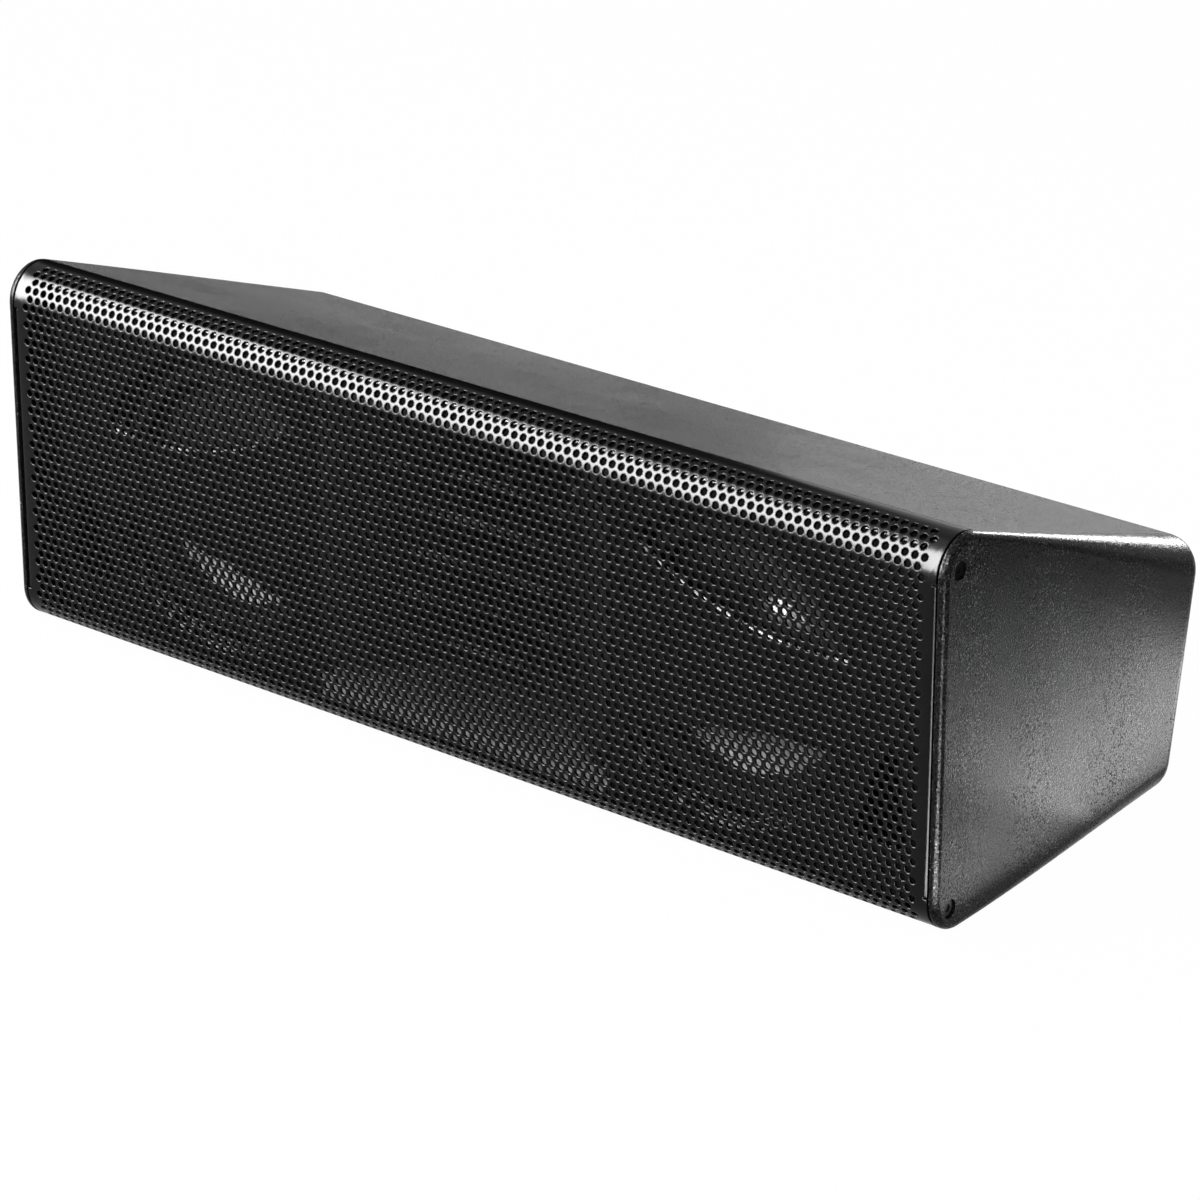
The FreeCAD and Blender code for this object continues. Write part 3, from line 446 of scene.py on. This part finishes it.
# %% Other finishes
plain_finishes = {
    "black_screw": (grey(0.003), grey(0.007), 0.34, 0.3, 0.01, {"gloss": 0.06}),
    "seal_foam": (grey(0.015), grey(0.04), 0.9, 0.6, 0.12, {}),
    "insert_brass": ((0.50, 0.33, 0.11, 1), (0.66, 0.47, 0.19, 1), 0.3, 0.4, 0.01, {"metal": 1.0}),
    "damping_foam": (grey(0.03), grey(0.09), 0.95, 1.5, 0.5, {}),
    "basket": (grey(0.02), grey(0.04), 0.5, 0.6, 0.03, {}),
    "surround_rubber": (grey(0.006), grey(0.012), 0.8, 0.4, 0.01, {"gloss": 0.08}),
    "cone_pulp": (grey(0.05), grey(0.09), 0.58, 0.9, 0.05, {}),
    "cap": (grey(0.03), grey(0.05), 0.30, 0.5, 0.004, {"gloss": 0.9}),
    "copper_winding": ((0.45, 0.17, 0.07, 1), (0.62, 0.27, 0.12, 1), 0.35, 0.3, 0.02, {"metal": 1.0}),
    "spider_cloth": ((0.34, 0.22, 0.09, 1), (0.47, 0.33, 0.15, 1), 0.85, 0.5, 0.1, {}),
    "plated_steel": (grey(0.45), grey(0.58), 0.32, 0.5, 0.01, {"metal": 1.0}),
    "ferrite": (grey(0.03), grey(0.06), 0.6, 0.5, 0.03, {}),
    "dome_cloth": (grey(0.02), grey(0.05), 0.6, 0.35, 0.03, {}),
    "terminal_moulding": ((0.02, 0.10, 0.04, 1), (0.03, 0.14, 0.06, 1), 0.4, 0.5, 0.02, {}),
    "board_laminate": ((0.02, 0.09, 0.035, 1), (0.03, 0.13, 0.05, 1), 0.45, 0.6, 0.02, {}),
    "capacitor_film": ((0.30, 0.22, 0.04, 1), (0.42, 0.32, 0.08, 1), 0.35, 0.6, 0.02, {}),
    "resistor_ceramic": (grey(0.55), grey(0.68), 0.75, 0.5, 0.04, {}),
}
finishes = {
    "shell_coating": shell_coating,
    "panel_coating": panel_coating,
    "grille_coating": grille_coating,
    "moulding": moulding,
    "horn_moulding": horn_moulding,
}
for name, (dark, light, rough, grain, relief, extra) in plain_finishes.items():
    finishes[name] = grained(name, dark, light, rough, grain * mm, relief * mm, **extra)
print("finishes:", len(finishes))

# %% [markdown]
# The record says which finish each loaded piece has, so one loop dresses them all. The pieces keep their
# shape and place, and only their material changes.

# %% Dress the loaded pieces
for entry in frame["record"]["subparts"]:
    data = nodes[entry["node"]].data
    data.materials.clear()
    data.materials.append(finishes[entry["material_slot"]])
print("dressed", len(nodes), "pieces")

# %% [markdown]
# The front is one steel sheet with about four and a half thousand punched holes. On the real object it is
# punched flat, then curled over at the top and bottom and folded back at both ends. The mesh is made in the
# same order: a flat blank first, laid out as the sheet's outer face unrolled, with X across and Y along it.

# %% Lengths of the unrolled sheet
curl = 14 * mm
fold = 1.5 * mm
sheet = 1.2 * mm
flange = 6 * mm
low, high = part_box("grille")
half_sheet = high.x
depth = high.y - low.y
slope = math.asin(depth / curl - 1)
top_centre = high.z - curl
bottom_flat = depth - curl
bottom_arc = curl * math.pi / 2
front_flat = top_centre - curl
front_start = bottom_flat + bottom_arc
top_start = front_start + front_flat
sheet_length = top_start + curl * (math.pi / 2 + slope)
fold_start = half_sheet - fold
fold_arc = fold * math.pi / 2
blank_half = fold_start + fold_arc + flange - fold
print("blank", round(2 * blank_half / mm, 1), "by", round(sheet_length / mm, 1), "mm")

# %% [markdown]
# Holes stand in staggered rows, four millimetres apart, so each hole owns a slanted cell of the blank. A
# plain grid sheared by half a step per row gives those cells at once. It reaches past the blank on every
# side, and one of its rows lies just above the start of the top curl, where the picture shows a row.

# %% The blank as a sheared grid
pitch = 4 * mm
row_pitch = pitch * math.sin(math.radians(60))
row_above_curl = 0.43 * mm
first_row = top_start + row_above_curl
rows_below = math.ceil(first_row / row_pitch)
rows_above = math.ceil((sheet_length - first_row) / row_pitch)
columns_left = math.ceil(blank_half / pitch + rows_above / 2) + 1
columns_right = math.ceil(blank_half / pitch + rows_below / 2) + 1
columns = columns_left + columns_right + 1
rows = rows_below + rows_above + 1
blank = bmesh.new()
bmesh.ops.create_grid(blank, x_segments=columns, y_segments=rows, size=0.5)
cells_centred = Matrix.Translation(((columns_right - columns_left) / 2, (rows_above - rows_below) / 2, 0))
cells_sized = Matrix.Diagonal((columns, rows, 1, 1))
sheared = Matrix(((pitch, pitch / 2, 0, 0), (0, row_pitch, 0, first_row), (0, 0, 1, 0), (0, 0, 0, 1)))
bmesh.ops.transform(blank, matrix=sheared @ cells_centred @ cells_sized, verts=blank.verts)
print("grid of", columns, "by", rows, "cells,", len(blank.faces), "faces")

# %% [markdown]
# Planes trim the blank at its four sides, as a shear does, and more of them add lines where the ends will be
# folded. A flange runs only along the flat of the front, so the end strips beside the curls are dropped, and
# a small notch parts each flange from them, without which the metal would tear.

# %% Trim the blank and score the fold lines
slice_reach = 1e-7
across = Vector((1, 0, 0))
along = Vector((0, 1, 0))
flange_inset = 1.5 * mm
flange_low = front_start + flange_inset
flange_high = top_start - flange_inset
notch = 0.8 * mm
fold_steps = 3


def slice_blank(place, normal, trim, faces):
    """Cuts faces of the blank along a line, and drops what lies beyond it where it is trimmed."""
    edges = {edge for face in faces for edge in face.edges}
    verts = {vert for face in faces for vert in face.verts}
    bmesh.ops.bisect_plane(blank, geom=[*verts, *edges, *faces], plane_co=place, plane_no=normal,
                           clear_outer=trim, dist=slice_reach)


def off_outline(face):
    """True for a face of the blank outside the sheet's outline: beyond the ends, or in a corner notch."""
    centre = face.calc_center_median()
    if flange_low < centre.y < flange_high:
        return False
    in_notch = flange_low - notch < centre.y < flange_high + notch
    return abs(centre.x) > (fold_start if in_notch else half_sheet)


slice_blank(along * sheet_length, along, True, blank.faces[:])
slice_blank(Vector(), -along, True, blank.faces[:])
fold_lines = [fold_start + fold_arc * i / fold_steps for i in range(fold_steps + 1)] + [half_sheet]
for side in (-1, 1):
    slice_blank(across * side * blank_half, across * side, True, blank.faces[:])
    for line in fold_lines:
        slice_blank(across * side * line, across, False, blank.faces[:])
for line in (flange_low - notch, flange_low, flange_high, flange_high + notch):
    strips = [f for f in blank.faces if abs(f.calc_center_median().x) > fold_start]
    slice_blank(along * line, along, False, strips)
bmesh.ops.delete(blank, geom=[f for f in blank.faces if off_outline(f)], context="FACES")
print("trimmed blank:", len(blank.faces), "faces")

# %% [markdown]
# Punching: the whole cells in the perforated field are inset, their middles are dropped, the rim edges are
# split once, and the eight rim points of each hole are pulled onto a circle. The slanted coordinates of a
# point say which hole it belongs to. Eight sides are enough for a hole of three millimetres, and keep the
# mesh light.

# %% Punch the holes
hole_radius = 1.5 * mm
field_half = 208.1 * mm
top_rows = 5
bottom_rows = 37
cell_area = pitch * row_pitch
area_slack = cell_area * 0.01
cells = []
for face in blank.faces:
    centre = face.calc_center_median()
    row = (centre.y - first_row) / row_pitch
    whole = abs(face.calc_area() - cell_area) < area_slack
    if whole and abs(centre.x) < field_half and -bottom_rows - 0.5 < row < top_rows + 0.5:
        cells.append(face)
bmesh.ops.inset_individual(blank, faces=cells, thickness=row_pitch / 2 - hole_radius, use_even_offset=True)
rims = [edge for face in cells for edge in face.edges]
bmesh.ops.delete(blank, geom=cells, context="FACES_ONLY")
split = bmesh.ops.subdivide_edges(blank, edges=rims, cuts=1)
rim_points = {v for part in split["geom"] if isinstance(part, bmesh.types.BMEdge) for v in part.verts}
rim_points = {v for v in rim_points if v.is_boundary}
step = math.radians(45)
turn = math.radians(30)
for vert in rim_points:
    slant = (vert.co.y - first_row) / row_pitch
    row = round(slant)
    column = round(vert.co.x / pitch - slant / 2)
    centre = Vector((pitch * (column + row / 2), first_row + row * row_pitch, 0))
    offset = vert.co - centre
    angle = turn + step * round((math.atan2(offset.y, offset.x) - turn) / step)
    vert.co = centre + Vector((math.cos(angle), math.sin(angle), 0)) * hole_radius
print("holes:", len(cells), "with", len(rim_points), "rim points")

# %% [markdown]
# Bending: each point is rolled round the curls by its distance along the sheet, and the end strips are
# rolled round the small fold. Bending the points by a formula keeps every hole at its true distance from
# the next, as on the bent sheet.


# %% Curl and fold the sheet
def curled(run):
    """Depth behind the front, and height, of the outer face at a distance along the sheet."""
    if run < bottom_flat:
        return depth - run, 0.0
    if run < front_start:
        angle = (run - bottom_flat) / curl
        return curl - curl * math.sin(angle), curl - curl * math.cos(angle)
    if run < top_start:
        return 0.0, curl + run - front_start
    angle = (run - top_start) / curl
    return curl - curl * math.cos(angle), top_centre + curl * math.sin(angle)


def folded(reach):
    """Distance across and depth of a point of an end strip, once the strip is folded back."""
    past = abs(reach) - fold_start
    if past <= 0:
        return reach, 0.0
    angle = min(past / fold, math.pi / 2)
    straight = max(past - fold_arc, 0.0)
    bent = fold_start + fold * math.sin(angle)
    return math.copysign(bent, reach), fold - fold * math.cos(angle) + straight


for vert in blank.verts:
    x, back = vert.co.x, 0.0
    if flange_low - notch / 2 < vert.co.y < flange_high + notch / 2:
        x, back = folded(vert.co.x)
    y, z = curled(vert.co.y)
    vert.co = Vector((x, low.y + y + back, z))
print("bent sheet from", min(v.co.z for v in blank.verts), "to", max(v.co.z for v in blank.verts))

# %% [markdown]
# The bent skin is the outer face. Its faces are turned to look outward, and then it is thickened inward to
# the gauge of the steel. Thickening comes last, because one layer of points is easier to bend than two. A
# helper makes each new mesh a piece: smooth where it bends gently, and sharp at the punched edges.

# %% Give the sheet its thickness
weld = 1e-6
facing = 0.99
smooth_limit = math.radians(35)


def finished(name, shape, finish):
    """Object from a bmesh, smooth where it bends gently, with its finish."""
    data = bpy.data.meshes.new(name)
    for face in shape.faces:
        face.smooth = True
    shape.to_mesh(data)
    shape.free()
    data.set_sharp_from_angle(angle=smooth_limit)
    data.materials.append(finishes[finish])
    piece = bpy.data.objects.new(name, data)
    scene.collection.objects.link(piece)
    data.calc_loop_triangles()
    print(name, len(data.loop_triangles), "triangles")
    return piece


bmesh.ops.remove_doubles(blank, verts=blank.verts, dist=weld)
bmesh.ops.recalc_face_normals(blank, faces=blank.faces)
if sum(f.normal.y for f in blank.faces if abs(f.normal.y) > facing) > 0:
    bmesh.ops.reverse_faces(blank, faces=blank.faces)
bmesh.ops.solidify(blank, geom=blank.faces[:], thickness=sheet)
perforated_sheet = finished("perforated_sheet", blank, "grille_coating")
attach(perforated_sheet, "cabinet")
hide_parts("grille")

# %% [markdown]
# Each cone hangs in a rubber half roll, glued to the frame outside and to the cone inside. Its outline is a
# few points and an arc, spun round the axis of the woofer, as a moulded ring has the same section all round.
# It bends when the cone travels.

# %% Rubber rolls
roll_half = 3.5 * mm
roll_wall = 0.8 * mm
roll_arc_steps = 14
roll_turn_steps = 96
lip = 2.5 * mm
seat_drop = 4 * mm
for side in ("left", "right"):
    low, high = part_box(side + "_woofer_surround")
    centre = (low + high) / 2
    outer = (high.x - low.x) / 2
    seat = high.y - seat_drop
    roll = bmesh.new()
    start = roll.verts.new((centre.x + outer, seat - roll_wall, centre.z))
    edge = roll.verts.new((centre.x + outer - lip, seat - roll_wall, centre.z))
    roll.edges.new((start, edge))
    hub = Vector((centre.x + outer - lip - roll_half, seat - roll_wall, centre.z))
    arc = bmesh.ops.spin(roll, geom=[edge], cent=hub, axis=(0, 0, 1), angle=-math.pi, steps=roll_arc_steps)
    last = [v for v in arc["geom_last"] if isinstance(v, bmesh.types.BMVert)][0]
    for push in (Vector((0, seat_drop, 0)), Vector((-lip, 0, 0))):
        grown = bmesh.ops.extrude_vert_indiv(roll, verts=[last])
        last = grown["verts"][0]
        last.co += push
    bmesh.ops.remove_doubles(roll, verts=roll.verts, dist=weld)
    bmesh.ops.spin(roll, geom=roll.verts[:] + roll.edges[:], cent=centre, axis=(0, 1, 0),
                   angle=2 * math.pi, steps=roll_turn_steps, use_merge=True)
    bmesh.ops.remove_doubles(roll, verts=roll.verts, dist=weld)
    bmesh.ops.recalc_face_normals(roll, faces=roll.faces)
    print(side, "roll crown at", min(v.co.y for v in roll.verts), "of", low.y)
    bmesh.ops.solidify(roll, geom=roll.faces[:], thickness=roll_wall)
    piece = finished(side + "_rubber_roll", roll, "surround_rubber")
    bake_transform(piece)
    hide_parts(side + "_woofer_surround")

# %% [markdown]
# The spider behind each cone is a pleated cloth cup, glued to the frame at its rim and to the coil at its
# collar. It bends in the same way, and it is spun from its pleats.

# %% Spiders
pleats = 14
pleat_depth = 1.6 * mm
spider_turn_steps = 64
cloth = 0.6 * mm
cup = 3 * mm
collar = 13.4 * mm
collar_end = 15.9 * mm
rim_width = 3.4 * mm
for side in ("left", "right"):
    low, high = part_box(side + "_woofer_spider")
    centre = (low + high) / 2
    outer = (high.x - low.x) / 2
    rim_level = high.y - cloth - cup
    outline = [(collar, cup)]
    for i in range(pleats + 1):
        reach = collar_end + (outer - rim_width - collar_end) * i / pleats
        outline.append((reach, cup * (1 - i / pleats) - pleat_depth * (i % 2)))
    outline.append((outer, 0.0))
    spider = bmesh.new()
    points = [spider.verts.new((centre.x + reach, rim_level + drop, centre.z)) for reach, drop in outline]
    for pair in zip(points, points[1:]):
        spider.edges.new(pair)
    bmesh.ops.spin(spider, geom=spider.verts[:] + spider.edges[:], cent=centre, axis=(0, 1, 0),
                   angle=2 * math.pi, steps=spider_turn_steps, use_merge=True)
    bmesh.ops.remove_doubles(spider, verts=spider.verts, dist=weld)
    bmesh.ops.recalc_face_normals(spider, faces=spider.faces)
    if sum(face.normal.y for face in spider.faces) > 0:
        bmesh.ops.reverse_faces(spider, faces=spider.faces)
    bmesh.ops.solidify(spider, geom=spider.faces[:], thickness=cloth)
    piece = finished(side + "_pleated_spider", spider, "spider_cloth")
    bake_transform(piece)
    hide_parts(side + "_woofer_spider")
